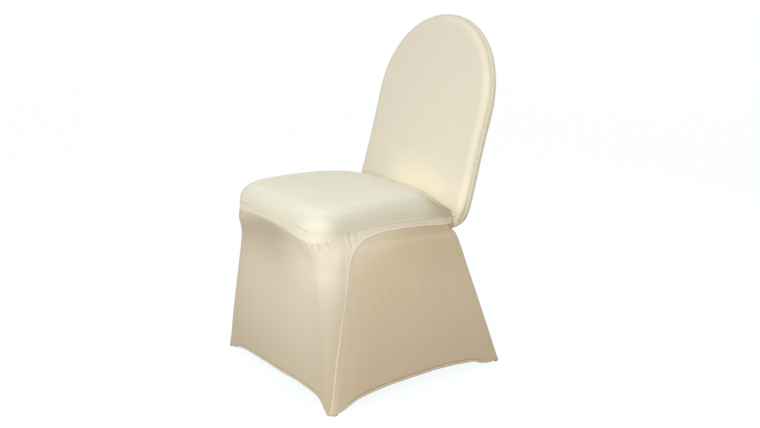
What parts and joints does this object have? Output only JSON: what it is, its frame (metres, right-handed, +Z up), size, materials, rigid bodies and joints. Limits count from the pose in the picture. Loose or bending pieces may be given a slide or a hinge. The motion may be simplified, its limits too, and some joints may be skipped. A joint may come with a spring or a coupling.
{
  "type": "fitted chair cover",
  "caption": "Stretch chair cover, hollow and fitted: crowned seat, round-topped back hood, and a flared skirt drawn down to pockets under the legs.",
  "frame": {"origin": "middle of the footprint on the floor", "axes": "+Z up, front of the cover towards -Y, its left and right along X"},
  "size_m": [0.526, 0.5874, 0.9235],
  "materials": {
    "seat_panel": "matte stretch knit",
    "back_front_panel": "matte stretch knit",
    "back_rear_panel": "matte stretch knit",
    "front_skirt_panel": "matte stretch knit",
    "side_skirt_right": "matte stretch knit",
    "side_skirt_left": "matte stretch knit",
    "foot_pocket_front_right": "matte stretch knit",
    "foot_pocket_front_left": "matte stretch knit",
    "foot_pocket_rear_right": "matte stretch knit",
    "foot_pocket_rear_left": "matte stretch knit"
  },
  "bodies": {
    "root": {"seat_panel": "seat_panel", "back_front_panel": "back_front_panel", "back_rear_panel": "back_rear_panel", "front_skirt_panel": "front_skirt_panel", "side_skirt_right": "side_skirt_right", "side_skirt_left": "side_skirt_left", "foot_pocket_front_right": "foot_pocket_front_right", "foot_pocket_front_left": "foot_pocket_front_left", "foot_pocket_rear_right": "foot_pocket_rear_right", "foot_pocket_rear_left": "foot_pocket_rear_left"}
  },
  "joints": []
}
